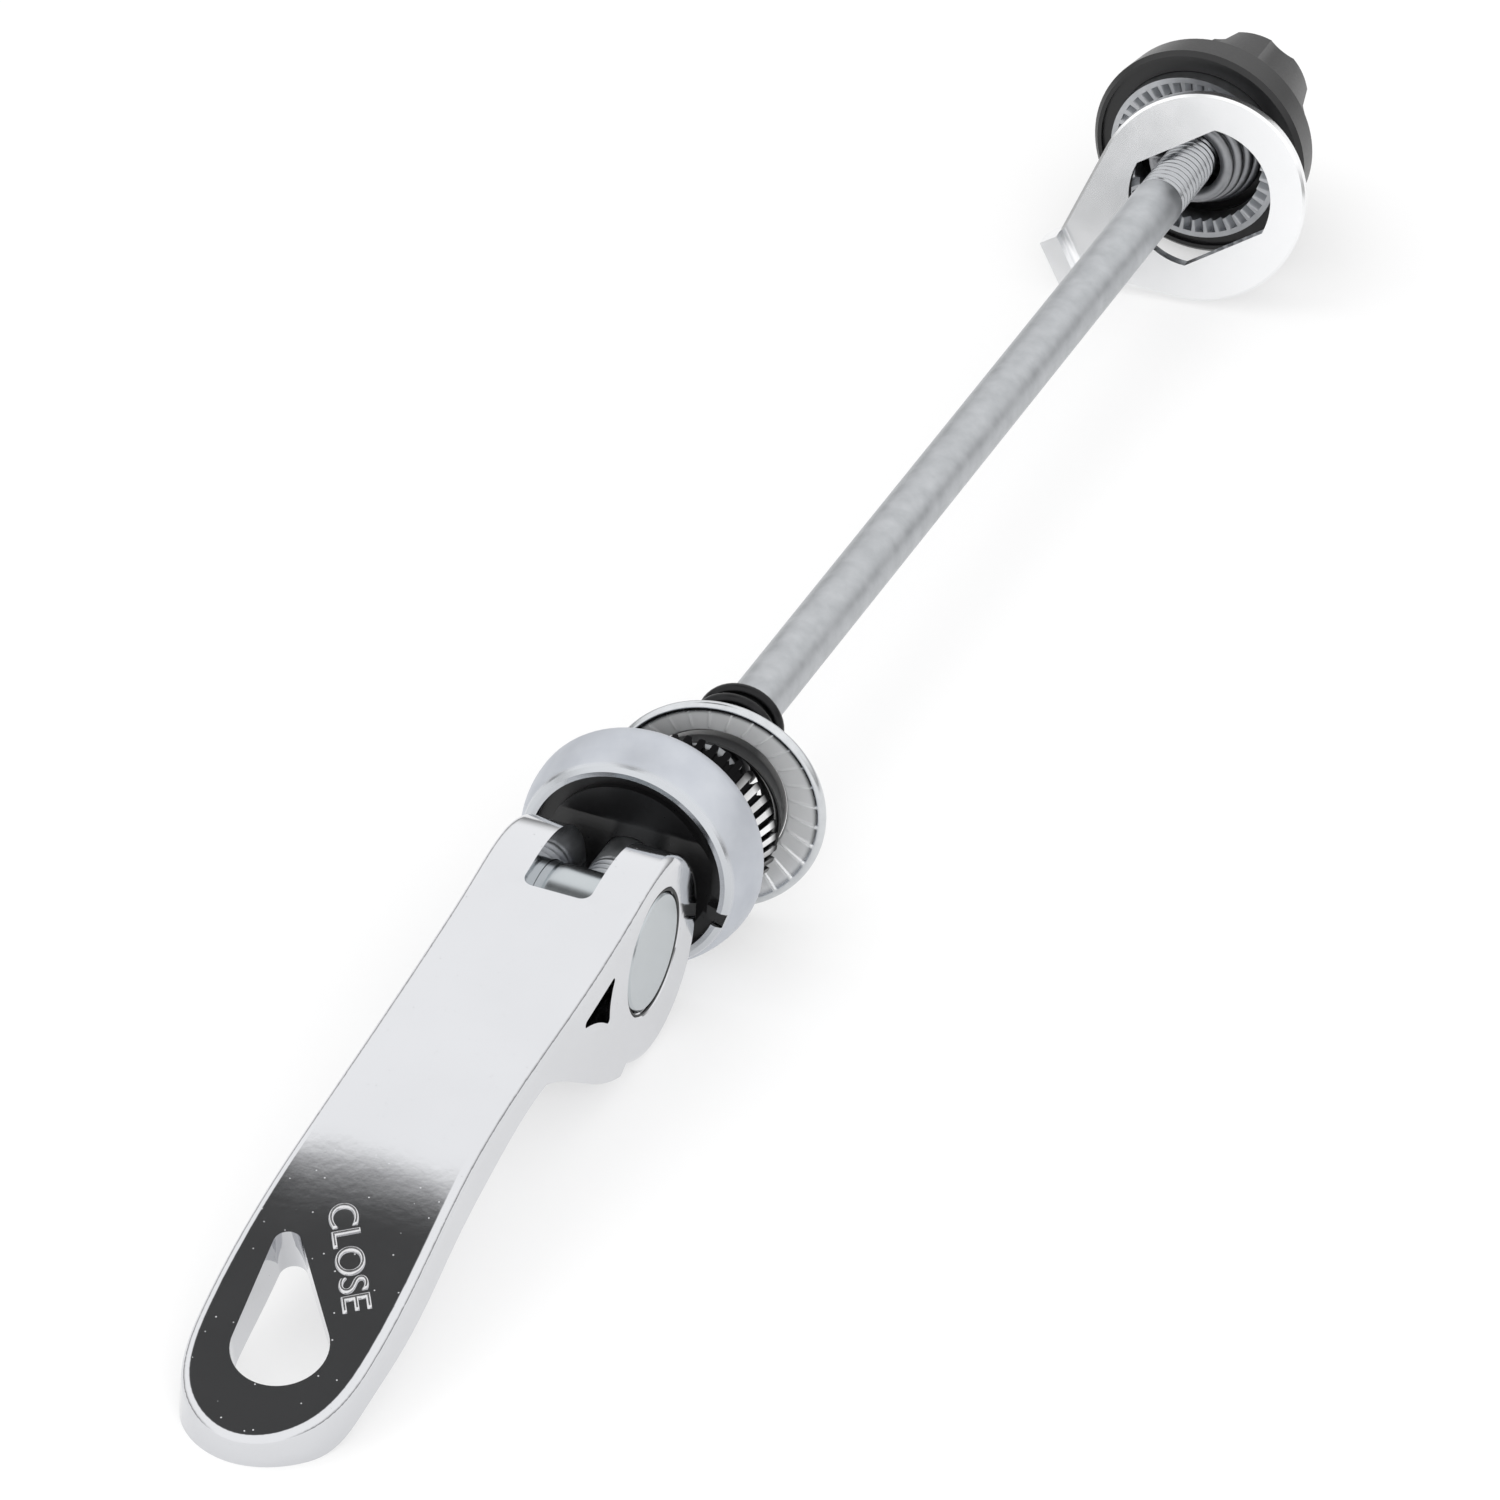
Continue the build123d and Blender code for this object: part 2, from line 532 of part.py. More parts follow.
def nut_insert():
    """Threaded steel core moulded into the nut."""
    points = [
        (NUT_WELL_X, THREAD_R + THREAD_CLEAR + INSERT_CHAMFER), (NUT_WELL_X, INSERT_R), (INSERT_END_X, INSERT_R),
        (INSERT_END_X, THREAD_R + THREAD_CLEAR), (NUT_WELL_X + INSERT_CHAMFER, THREAD_R + THREAD_CLEAR),
    ]
    return turned(points)


PARTS = {
    "skewer_rod": skewer_rod,
    "cam_barrel": cam_barrel,
    "lever": lever,
    "lever_cup": lever_cup,
    "cam_saddle": cam_saddle,
    "cup_ring": cup_ring,
    "lever_spring": lever_spring,
    "dish_washer": dish_washer,
    "hook_washer": hook_washer,
    "nut_spring": nut_spring,
    "nut_ring": nut_ring,
    "nut_body": nut_body,
    "nut_insert": nut_insert,
}

if __name__ == "__main__":
    os.makedirs("parts", exist_ok=True)
    for node, make in PARTS.items():
        export_step(PLACE * make(), f"parts/{node}.step")
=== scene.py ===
"""Look of the quick release skewer: thread, spring wire, washer, raised word, finishes and light.

Lengths are millimetres from the lever's pivot, with the rod along +X, until place() turns them into
the frame's metres.
"""
import math

import bmesh
import bpy
import numpy as np
from mathutils import Matrix, Vector


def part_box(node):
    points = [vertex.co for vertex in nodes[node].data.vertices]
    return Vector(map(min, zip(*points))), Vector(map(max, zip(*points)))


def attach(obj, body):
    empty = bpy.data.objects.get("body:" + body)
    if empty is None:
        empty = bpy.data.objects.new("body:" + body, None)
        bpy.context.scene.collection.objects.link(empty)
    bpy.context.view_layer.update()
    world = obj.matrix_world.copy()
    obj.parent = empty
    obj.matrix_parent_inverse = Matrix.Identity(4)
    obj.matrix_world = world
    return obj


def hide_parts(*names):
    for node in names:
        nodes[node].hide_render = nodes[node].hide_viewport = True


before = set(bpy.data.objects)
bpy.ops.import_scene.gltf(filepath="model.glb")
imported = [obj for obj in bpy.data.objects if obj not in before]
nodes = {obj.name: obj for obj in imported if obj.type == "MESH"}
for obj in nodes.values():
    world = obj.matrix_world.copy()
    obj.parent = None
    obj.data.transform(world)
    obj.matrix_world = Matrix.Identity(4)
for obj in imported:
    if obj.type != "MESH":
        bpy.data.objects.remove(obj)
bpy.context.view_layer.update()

MM = 0.001
PIVOT = np.mean(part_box("cam_barrel"), axis=0)


def span(node):
    """Start and end of a CAD node along the rod, in mm from the pivot."""
    low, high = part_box(node)
    return (low[0] - PIVOT[0]) / MM, (high[0] - PIVOT[0]) / MM


# Meshes: distance in metres at which doubled points are merged, and columns of a plain round piece
MERGE_DISTANCE = 1e-7
ROUND_COLUMNS = 128

# Rod
ROD_START, ROD_END = span("skewer_rod")
ROD_R = (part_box("skewer_rod")[1][2] - PIVOT[2]) / MM
ROD_BEVEL = 0.6
ROD_COLUMNS = 64
SHANK_ROWS = 40

# M5 thread at both ends of the rod: its crest is a share of the pitch, and it fades out over the run-out
THREAD_PITCH = 0.8
THREAD_DEPTH = 0.42
THREAD_CREST = 0.2
THREAD_RELIEF = 0.06
THREAD_RUN_OUT = 0.8
THREAD_SHOULDER = 0.2
LEVER_THREAD_END = 9.0
LEVER_THREAD_ROWS = 190
NUT_THREAD_LEN = 17.6
NUT_THREAD_START = ROD_END - NUT_THREAD_LEN
NUT_THREAD_ROWS = 250

# Springs: radius of the wire, and of its line at the wide and narrow ends
LEVER_WIRE_R = 0.6
NUT_WIRE_R = 0.7
LEVER_SPRING_R = 3.9
NUT_SPRING_R = 5.7
SPRING_NARROW_R = 3.45
LEVER_SPRING_START, LEVER_SPRING_END = span("lever_spring")
NUT_SPRING_NARROW_END, NUT_SPRING_WIDE_END = span("nut_spring")

# Coils of each spring as (turns so far, share of its length), and the fineness of the wire's mesh
LEVER_COILS = [(0, 0), (1, 0.07), (5, 0.66), (8.75, 1)]
NUT_COILS = [(0, 0), (1, 0.25), (3, 0.75), (4, 1)]
ROWS_PER_TURN = 48
SMOOTHED_ROWS = 25
WIRE_COLUMNS = 16

# Dished washer
DISH_CENTRE = (25.9, -2.61, -0.9)
DISH_LEAN = (-0.136, 0.052)
DISH_R = 10.4
DISH_BORE = 7.0
DISH_BORE_SHIFT = 0.4
DISH_T = 0.8
DISH_DISHING = 0.8
DISH_COLUMNS = 900

# Its section: bead of the rolled rim with its start and end in degrees, rounded lip of the bore, and the
# face, which keeps a share of its width free of rows at both ends
BEAD_R = 0.54
BEAD_START = 195
BEAD_END = -15
BEAD_ROWS = 18
LIP_DEPTH = 0.3
LIP_ROWS = 9
FACE_MARGIN = 0.04
FACE_ROWS = 18

# Ridges of its face: how much their heights differ, the radians that the wave of heights turns from one
# ridge to the next, and the power that squares off their ends
DISH_RIDGES = 30
RIDGE_W = 0.26
RIDGE_H = 0.2
RIDGE_UNEVEN = 0.25
RIDGE_WANDER = 7
RIDGE_END_POWER = 0.3

# Its ridge attribute, which paints the face lighter and the ridges white: value on the face, and how
# steeply that grows from the rim inwards
FACE_PAINTED_LIGHT_AND_MATT = 0.6
RIM_FADE = 6.0

# Black lining in its bore: section as (along the axis, radius), and the gap that it leaves the spring
LINING_SECTION = [
    (1.2, 6.9), (0, 6.9), (-1.3, 7.0), (-1.8, 7.15), (-1.8, 7.0),
    (-1.3, 6.75), (0.3, 6.4), (0.7, 6.35), (0.8, 5.75), (1.2, 5.75),
]
LINING_GAP = 0.12

# Fluted ring: centre across the rod, and flute root radius at its two ends
RING_CENTRE = (-1.91, -0.3)
RING_START_X = 18.7
RING_FACE_X = 22.4
RING_ROOT_START = 7.05
RING_ROOT_END = 8.0

# Painted highlight on the crests of the ring: height above the roots where it starts and is full, the end
# of the stretch that it takes up and its fade, and the middle, half width and fade of its side in degrees
CREST_START = 0.22
CREST_FULL = 0.32
RING_BRIGHT_END = 21.7
RING_END_FADE = 0.4
RING_BRIGHT_ANGLE = 160.0
RING_BRIGHT_HALF = 22.0
RING_BRIGHT_FADE = 12.0

# Painted shade of the gap round the barrel's ends: outer and inner radius, and how far the inner circle is
# off centre
BARREL_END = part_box("cam_barrel")[1][1] / MM
BARREL_R = (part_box("cam_barrel")[1][2] - PIVOT[2]) / MM
GAP_OUTER_R = BARREL_R + 0.3
GAP_INNER_R = BARREL_R + 0.07
GAP_OFF = (-0.19, 0.05)
GAP_SUNK = 0.02
GAP_DEPTH = 0.08

# Raised word on the paddle: middle, reading way and size, and the points where the lever's top is probed
WORD_AT = (-53.0, -1.85)
WORD_WAY = (-0.854, -0.521)
WORD_LENGTH = 11.2
WORD_HEIGHT = 2.55
WORD_RAISE = 0.22
WORD_ROOT = 0.25
WORD_STATIONS = 5
PROBE_HEIGHT = 20.0

# Its letters, as shares of the font's size
LETTER_DEPTH = 0.01
LETTER_ROUNDING = 0.034
LETTER_ROUNDING_STEPS = 3
LETTER_THINNING = -0.024

# Plating: mean distance between casting pits, their depth as a share of their radius, and half the length
# over which one stretch of plating goes over into the next
PIT_SPACING = 1.0
PIT_DEPTH = 0.5
END_FADE = 0.15

# Moulded plastic: size of its faint patches, and how far its roughness varies
MOULDED_PATCH = 3.0
MOULDED_SPREAD = 0.06

# CAD nodes: distance in metres at which facets are joined, full weight for the larger faces, and the
# degrees past which an edge stays sharp, on plain pieces and on toothed ones
JOIN_DISTANCE = 1e-6
LARGE_FACE_WEIGHT = 100
EDGE_ANGLE = 25
TOOTH_ANGLE = 20

# Photograph's camera: place from the pivot in mm, axes of the picture, focal length in frame widths, sensor
# in mm and range in metres
CAMERA_AT = (-862.4, -328.2, 598.3)
CAMERA_FORWARD = (0.7965, 0.2891, -0.5311)
CAMERA_UP = (0.4725, 0.2504, 0.8451)
FOCAL_IN_WIDTHS = 12500 / 1500
SENSOR_WIDTH = 36
CLIP_START = 0.05
CLIP_END = 20

# Floor: half its side in metres, and the share of it that glows
FLOOR_HALF = 3.0
PAPER_GLOW = 0.5

# Light tent: middle of its dark slot, and the degrees from there where the slot is full and where it ends
SLOT_WAY = (0.2, 0.289, 0.935)
SLOT_CORE = 5.0
SLOT_EDGE = 16.5
SLOT_TONE = 0.06

# Brightness of the tent at the horizon and above it, the sine of the height where it is full, and how far
# towards the lever's tip (-X) a white front starts and is full
HORIZON_TONE = 0.3
TENT_TONE = 1.2
TENT_RISE = 0.42
FRONT_EDGE = -0.35
FRONT_CORE = -0.8

# Soft lamps, which no mirror shows: name, place in metres and power in watts
LAMP_SIZE = 0.6
LAMPS = [("top box", (-0.2, 0.5, 0.9), 1.6), ("front box", (-0.8, -0.5, 0.45), 3.5)]


def place(points):
    """Millimetres from the pivot to metres in the frame."""
    return PIVOT + np.asarray(points, float) * MM


def along_rod(x):
    """Frame's X in metres of a point x mm along the rod from the pivot."""
    return place((x, 0, 0))[0]


def unit(way):
    """Vector of length 1 along a way."""
    return np.array(way) / np.linalg.norm(way)


def full_turn(columns):
    """Angles of the columns of a grid that goes once round."""
    return np.linspace(0, 2 * np.pi, columns, endpoint=False)


# Pieces


def add_piece(name, mesh, body):
    """Puts a finished mesh in the scene as an object that moves with a body."""
    mesh.shade_smooth()
    piece = bpy.data.objects.new(name, mesh)
    bpy.context.scene.collection.objects.link(piece)
    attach(piece, body)
    return piece


def grid_piece(name, points, body, wrap_rows=False, ridge=None):
    """Mesh over a (rows, columns, 3) grid of mm points: one quad per cell, columns wrap round.

    Rows that shrink to one point close the ends; their doubles are merged and the faces turned outwards.
    ridge is a value per point, kept as an attribute for the finish to read.
    """
    rows, columns, _ = points.shape
    index = np.arange(rows * columns).reshape(rows, columns)
    if wrap_rows:
        index = np.vstack([index, index[:1]])
    index = np.hstack([index, index[:, :1]])
    quads = np.stack([index[:-1, :-1], index[:-1, 1:], index[1:, 1:], index[1:, :-1]], -1)
    mesh = bpy.data.meshes.new(name)
    mesh.from_pydata(place(points).reshape(-1, 3), [], quads.reshape(-1, 4))
    if ridge is not None:
        mesh.attributes.new("ridge", "FLOAT", "POINT").data.foreach_set("value", ridge.ravel())
    work = bmesh.new()
    work.from_mesh(mesh)
    bmesh.ops.remove_doubles(work, verts=work.verts, dist=MERGE_DISTANCE)
    bmesh.ops.recalc_face_normals(work, faces=work.faces)
    work.to_mesh(mesh)
    work.free()
    return add_piece(name, mesh, body)


def turned_points(x, r, columns):
    """Surface of revolution: profile (x, r) carried round X, point (x, r cos a, r sin a)."""
    a = full_turn(columns)
    r = r if r.ndim == 2 else r[:, None]
    return np.stack([x[:, None] + 0 * a, r * np.cos(a), r * np.sin(a)], -1)


def rod():
    """Threaded rod: r = rod radius, less a relief and a flat-topped triangle wave in the two threads.

    The wave runs over x / pitch - a / full turn, which makes it a right-handed helix.
    """
    x = np.concatenate([
        [ROD_START],
        np.linspace(ROD_START, LEVER_THREAD_END, LEVER_THREAD_ROWS),
        np.linspace(LEVER_THREAD_END + THREAD_SHOULDER, NUT_THREAD_START - THREAD_SHOULDER, SHANK_ROWS),
        np.linspace(NUT_THREAD_START, ROD_END, NUT_THREAD_ROWS),
        [ROD_END],
    ])
    phase = (x[:, None] / THREAD_PITCH - full_turn(ROD_COLUMNS) / (2 * np.pi)) % 1
    ridge = np.clip((0.5 - np.abs(phase - 0.5)) / (0.5 - THREAD_CREST / 2), 0, 1)
    lever_thread = np.clip((LEVER_THREAD_END - x) / THREAD_RUN_OUT, 0, 1)
    nut_thread = np.clip((x - NUT_THREAD_START) / THREAD_RUN_OUT, 0, 1)
    cut = THREAD_DEPTH * (1 - ridge) * (lever_thread + nut_thread)[:, None]
    relief = THREAD_RELIEF * ((x <= LEVER_THREAD_END) | (x >= NUT_THREAD_START))
    from_end = np.minimum(x - ROD_START, ROD_END - x)
    r = np.minimum(ROD_R - relief[:, None] - cut, ROD_R - ROD_BEVEL + from_end[:, None])
    r[0] = 0
    r[-1] = 0
    return grid_piece("threaded_rod", turned_points(x, r, ROD_COLUMNS), "skewer")


def wire_spring(name, start, end, wide_r, wire_r, coils, body):
    """Round wire along a cone helix: centre (x(t), R cos t, R sin t), ring of radius wire_r across it.

    coils lists (turns so far, share of length), so that the end coils lie closer than the rest.
    """
    turns, lengths = np.array(coils).T
    t = np.linspace(0, turns[-1], int(turns[-1] * ROWS_PER_TURN))
    share = np.pad(np.interp(t, turns, lengths), SMOOTHED_ROWS // 2, mode="edge")
    share = np.convolve(share, np.ones(SMOOTHED_ROWS) / SMOOTHED_ROWS, mode="valid")
    way = 1 if end > start else -1
    x = start + way * wire_r + (end - start - way * 2 * wire_r) * share
    radius = wide_r + (SPRING_NARROW_R - wide_r) * share
    angle = 2 * np.pi * t
    radial = np.stack([0 * t, np.cos(angle), np.sin(angle)], -1)
    centre = np.stack([x, 0 * t, 0 * t], -1) + radius[:, None] * radial
    along_wire = np.gradient(centre, axis=0)
    along_wire /= np.linalg.norm(along_wire, axis=1)[:, None]
    across = np.cross(along_wire, radial)
    ring = full_turn(WIRE_COLUMNS)[:, None]
    section = centre[:, None] + wire_r * (np.cos(ring) * radial[:, None] + np.sin(ring) * across[:, None])
    ends = np.repeat(centre[[0, -1], None], WIRE_COLUMNS, axis=1)
    return grid_piece(name, np.concatenate([ends[:1], section, ends[1:]]), body)


def lean(points, centre, lean_y, lean_z):
    """Turns points drawn about X, and then moves them to a centre.

    After it, a plane across X grows in X by lean_y per mm of Y and by lean_z per mm of Z.
    """
    x_way = unit([1, -lean_y, -lean_z])
    z_way = unit([lean_z, 0, 1])
    y_way = np.cross(z_way, x_way)
    return np.asarray(centre) + points @ np.stack([x_way, y_way, z_way])


def towards_rod(points, slide):
    """Slides each ring of points by its own number of mm from the dish's centre towards the rod's line."""
    points[..., 1:] -= slide[:, None, None] * unit(DISH_CENTRE[1:])
    return points


def dish():
    """Dished washer: closed section of rolled rim, back, bore lip and face, carried round X.

    A ridge raises the face by a bell of the distance from its line. The bore lies a little off centre, so
    the rings of the face slide as they near it. The ridge attribute is 0 on the rim,
    FACE_PAINTED_LIGHT_AND_MATT on the face and up to 1 on a ridge. With it the finish paints the face
    lighter and the ridges white as painted highlights, and makes both less metallic.
    """
    turn = np.linspace(math.radians(BEAD_START), math.radians(BEAD_END), BEAD_ROWS)
    bead_x = DISH_T / 2 + BEAD_R * np.cos(turn)
    bead_r = DISH_R - BEAD_R + BEAD_R * np.sin(turn)
    bore = np.linspace(-math.pi / 2, math.pi / 2, LIP_ROWS)
    lip_x = DISH_DISHING + DISH_T / 2 - DISH_T / 2 * np.sin(bore)
    lip_r = DISH_BORE + LIP_DEPTH - LIP_DEPTH * np.cos(bore)
    face = np.linspace(FACE_MARGIN, 1 - FACE_MARGIN, FACE_ROWS)
    face_x = lip_x[-1] + (bead_x[0] - lip_x[-1]) * face
    face_r = lip_r[-1] + (bead_r[0] - lip_r[-1]) * face
    x = np.concatenate([bead_x, lip_x, face_x])
    r = np.concatenate([bead_r, lip_r, face_r])
    slide = DISH_BORE_SHIFT * np.concatenate([np.zeros(BEAD_ROWS), np.ones(LIP_ROWS), 1 - face])
    points = towards_rod(turned_points(x, r, DISH_COLUMNS), slide)

    a = full_turn(DISH_COLUMNS)
    step = 2 * np.pi / DISH_RIDGES
    number = np.floor((a + step / 2) / step)
    off = np.abs((a + step / 2) % step - step / 2) * (DISH_R + DISH_BORE) / 2
    height = 1 - RIDGE_UNEVEN * (1 - np.cos(RIDGE_WANDER * number))
    bell = height * np.exp(-(off / (RIDGE_W / 2)) ** 2)
    on_face = np.concatenate([np.zeros(BEAD_ROWS + LIP_ROWS), np.sin(np.pi * face) ** RIDGE_END_POWER])
    ridge = on_face[:, None] * bell
    points[..., 0] -= RIDGE_H * ridge
    inwards = np.clip(RIM_FADE * (1 - face), 0, 1)
    off_rim = np.concatenate([np.zeros(BEAD_ROWS), np.ones(LIP_ROWS), inwards])
    # painted light: this attribute lightens the face and whitens the ridges as painted highlights
    painted_light_and_matt = np.maximum(ridge, FACE_PAINTED_LIGHT_AND_MATT * off_rim[:, None])
    leaned = lean(points, DISH_CENTRE, *DISH_LEAN)
    return grid_piece("ridged_dish", leaned, "dish", wrap_rows=True, ridge=painted_light_and_matt)


def lining():
    """Black lining of the dish: rings about its axis, each slid until it passes the spring at the same gap.

    slide = centre's distance from the rod + spring radius + gap - r, less what the lean already moves
    the ring.
    """
    x, r = np.array(LINING_SECTION).T
    off_rod = np.linalg.norm(DISH_CENTRE[1:])
    leaned = np.dot(DISH_LEAN, DISH_CENTRE[1:]) / off_rod
    slide = off_rod + LEVER_SPRING_R + LEVER_WIRE_R + LINING_GAP - r - leaned * x
    points = towards_rod(turned_points(x, r, ROUND_COLUMNS), slide)
    return grid_piece("dish_lining", lean(points, DISH_CENTRE, *DISH_LEAN), "dish", wrap_rows=True)


def pivot_gap(name, side):
    """Crescent of painted shade in the gap round an end of the barrel, on a thin square section.

    Its edges are two circles, of which the inner one is off centre.
    """
    a = full_turn(ROUND_COLUMNS)
    circle = np.stack([np.cos(a), 0 * a, np.sin(a)], -1)
    outer = GAP_OUTER_R * circle
    inner = GAP_INNER_R * circle + np.array([GAP_OFF[0], 0, GAP_OFF[1]])
    top = np.array([0, side * (BARREL_END - GAP_SUNK), 0])
    bottom = np.array([0, side * (BARREL_END - GAP_SUNK - GAP_DEPTH), 0])
    points = np.stack([outer + top, inner + top, inner + bottom, outer + bottom])
    return grid_piece(name, points, "lever_arm", wrap_rows=True)


def raised_word():
    """Cast word on the paddle: a text's mesh (u, v, h) laid on the lever's top.

    (x, y) = middle + u * way + v * up, and z = q(x) + h, where q is the parabola through points of the top.
    """
    text = bpy.data.curves.new("word", "FONT")
    text.body = "CLOSE"
    text.extrude = LETTER_DEPTH
    text.bevel_depth = LETTER_ROUNDING
    text.bevel_resolution = LETTER_ROUNDING_STEPS
    text.offset = LETTER_THINNING
    holder = bpy.data.objects.new("word", text)
    bpy.context.scene.collection.objects.link(holder)
    graph = bpy.context.evaluated_depsgraph_get()
    mesh = bpy.data.meshes.new_from_object(holder.evaluated_get(graph))
    bpy.data.objects.remove(holder)
    flat = np.empty(3 * len(mesh.vertices))
    mesh.vertices.foreach_get("co", flat)
    flat = flat.reshape(-1, 3)
    low, high = flat.min(axis=0), flat.max(axis=0)
    u, v, h = ((flat - (low + high) / 2) / (high - low)).T
    way = unit(WORD_WAY)
    up = np.array([-way[1], way[0]])
    middle = np.array(WORD_AT)
    xy = middle + WORD_LENGTH * u[:, None] * way + WORD_HEIGHT * v[:, None] * up
    top = nodes["lever"].evaluated_get(graph)
    stations = middle + np.linspace(-0.5, 0.5, WORD_STATIONS)[:, None] * WORD_LENGTH * way
    starts = place(np.column_stack([stations, np.full(WORD_STATIONS, PROBE_HEIGHT)]))
    down = Vector((0, 0, -1))
    heights = [(top.ray_cast(Vector(start), down)[1].z - PIVOT[2]) / MM for start in starts]
    curve = np.polyfit(stations[:, 0], heights, 2)
    z = np.polyval(curve, xy[:, 0]) + (h + 0.5) * (WORD_RAISE + WORD_ROOT) - WORD_ROOT
    mesh.vertices.foreach_set("co", place(np.column_stack([xy, z])).ravel())
    return add_piece("raised_word", mesh, "lever_arm")


# Materials


def linear(code):
    """sRGB hex to the linear colour that the nodes use."""
    channels = np.array([int(code[i:i + 2], 16) for i in (1, 3, 5)]) / 255
    low = channels / 12.92
    high = ((channels + 0.055) / 1.055) ** 2.4
    return (*np.where(channels <= 0.04045, low, high), 1.0)


def per_mm(size):
    """Texture scale at which one feature is size mm wide."""
    return 1 / (size * MM)


def add_node(tree, kind, inputs=None, **settings):
    """Adds a node, sets its attributes, and fills or links its inputs."""
    node = tree.nodes.new(kind)
    for name, value in settings.items():
        setattr(node, name, value)
    for name, value in (inputs or {}).items():
        if isinstance(value, bpy.types.NodeSocket):
            tree.links.new(value, node.inputs[name])
        else:
            node.inputs[name].default_value = value
    return node


def new_finish(name):
    """Empty node material with its shader, and the object coordinates that its patterns read."""
    material = bpy.data.materials.new(name)
    material.use_nodes = True
    tree = material.node_tree
    tree.nodes.clear()
    shader = add_node(tree, "ShaderNodeBsdfPrincipled")
    add_node(tree, "ShaderNodeOutputMaterial", {"Surface": shader.outputs[0]})
    coords = add_node(tree, "ShaderNodeTexCoord").outputs["Object"]
    return material, tree, shader, coords


def plated(name, dark, light, patch, roughness, spread, grain, bump,
           metallic=1.0, ends=None, painted_light_colour=None, pits=0):
    """Plated metal: cloudy colour in patches, roughness that follows them, and a fine grain as bump.

    ends is (middle, half length, colour, roughness): past that stretch of the rod's line the plating has
    that colour and roughness. painted_light_colour is the colour that the piece's ridge attribute mixes in
    as painted light and painted highlights: where the attribute is 0 the metal is bare, and from
    FACE_PAINTED_LIGHT_AND_MATT on it is only as metallic as metallic says. pits is the radius of small
    pits left by the casting.
    """
    material, tree, shader, coords = new_finish(name)
    cloud = add_node(tree, "ShaderNodeTexNoise", {
        "Vector": coords, "Scale": per_mm(patch), "Detail": 4.0,
    }).outputs["Fac"]
    tone = add_node(tree, "ShaderNodeMix", {
        "Factor": cloud, "A": linear(dark), "B": linear(light),
    }, data_type="RGBA").outputs["Result"]
    gloss = add_node(tree, "ShaderNodeMapRange", {
        "Value": cloud, "To Min": roughness - spread, "To Max": roughness + spread,
    }).outputs["Result"]
    fine = add_node(tree, "ShaderNodeTexNoise", {
        "Vector": coords, "Scale": per_mm(grain), "Detail": 2.0,
    }).outputs["Fac"]
    relief = add_node(tree, "ShaderNodeBump", {
        "Height": fine, "Distance": bump * MM, "Strength": 1.0,
    }).outputs["Normal"]
    if pits:
        nearest = add_node(tree, "ShaderNodeTexVoronoi", {"Vector": coords, "Scale": per_mm(PIT_SPACING)})
        hollow = add_node(tree, "ShaderNodeMapRange", {
            "Value": nearest.outputs["Distance"], "From Min": 0.0, "From Max": pits / PIT_SPACING,
        }).outputs["Result"]
        relief = add_node(tree, "ShaderNodeBump", {
            "Height": hollow, "Distance": PIT_DEPTH * pits * MM, "Strength": 1.0, "Normal": relief,
        }).outputs["Normal"]
    if ends:
        middle, half, end_colour, end_roughness = ends
        along = add_node(tree, "ShaderNodeSeparateXYZ", {"Vector": coords}).outputs["X"]
        off = add_node(tree, "ShaderNodeMath", {
            0: along, 1: along_rod(middle),
        }, operation="SUBTRACT").outputs[0]
        off = add_node(tree, "ShaderNodeMath", {0: off}, operation="ABSOLUTE").outputs[0]
        past = add_node(tree, "ShaderNodeMapRange", {
            "Value": off, "From Min": (half - END_FADE) * MM, "From Max": (half + END_FADE) * MM,
        }).outputs["Result"]
        tone = add_node(tree, "ShaderNodeMix", {
            "Factor": past, "A": tone, "B": linear(end_colour),
        }, data_type="RGBA").outputs["Result"]
        gloss = add_node(tree, "ShaderNodeMix", {
            "Factor": past, "A": gloss, "B": end_roughness,
        }).outputs["Result"]
    if painted_light_colour:
        ridge = add_node(tree, "ShaderNodeAttribute", attribute_name="ridge").outputs["Fac"]
        # painted light: the ridge attribute mixes a near white into the colour
        tone = add_node(tree, "ShaderNodeMix", {
            "Factor": ridge, "A": tone, "B": linear(painted_light_colour),
        }, data_type="RGBA").outputs["Result"]
        bare = add_node(tree, "ShaderNodeMapRange", {
            "Value": ridge, "From Max": FACE_PAINTED_LIGHT_AND_MATT, "To Min": 1.0, "To Max": metallic,
        }).outputs["Result"]
        tree.links.new(bare, shader.inputs["Metallic"])
    else:
        shader.inputs["Metallic"].default_value = metallic
    tree.links.new(tone, shader.inputs["Base Color"])
    tree.links.new(gloss, shader.inputs["Roughness"])
    tree.links.new(relief, shader.inputs["Normal"])
    return material


def moulded(name, dark, light, roughness, grain, bump):
    """Moulded plastic: nearly even colour, satin gloss and an eroded grain."""
    material, tree, shader, coords = new_finish(name)
    cloud = add_node(tree, "ShaderNodeTexNoise", {
        "Vector": coords, "Scale": per_mm(MOULDED_PATCH), "Detail": 3.0,
    }).outputs["Fac"]
    tone = add_node(tree, "ShaderNodeMix", {
        "Factor": cloud, "A": linear(dark), "B": linear(light),
    }, data_type="RGBA").outputs["Result"]
    fine = add_node(tree, "ShaderNodeTexNoise", {
        "Vector": coords, "Scale": per_mm(grain), "Detail": 3.0,
    }).outputs["Fac"]
    gloss = add_node(tree, "ShaderNodeMapRange", {
        "Value": fine, "To Min": roughness - MOULDED_SPREAD, "To Max": roughness + MOULDED_SPREAD,
    }).outputs["Result"]
    relief = add_node(tree, "ShaderNodeBump", {
        "Height": fine, "Distance": bump * MM, "Strength": 1.0,
    }).outputs["Normal"]
    tree.links.new(tone, shader.inputs["Base Color"])
    tree.links.new(gloss, shader.inputs["Roughness"])
    tree.links.new(relief, shader.inputs["Normal"])
    return material


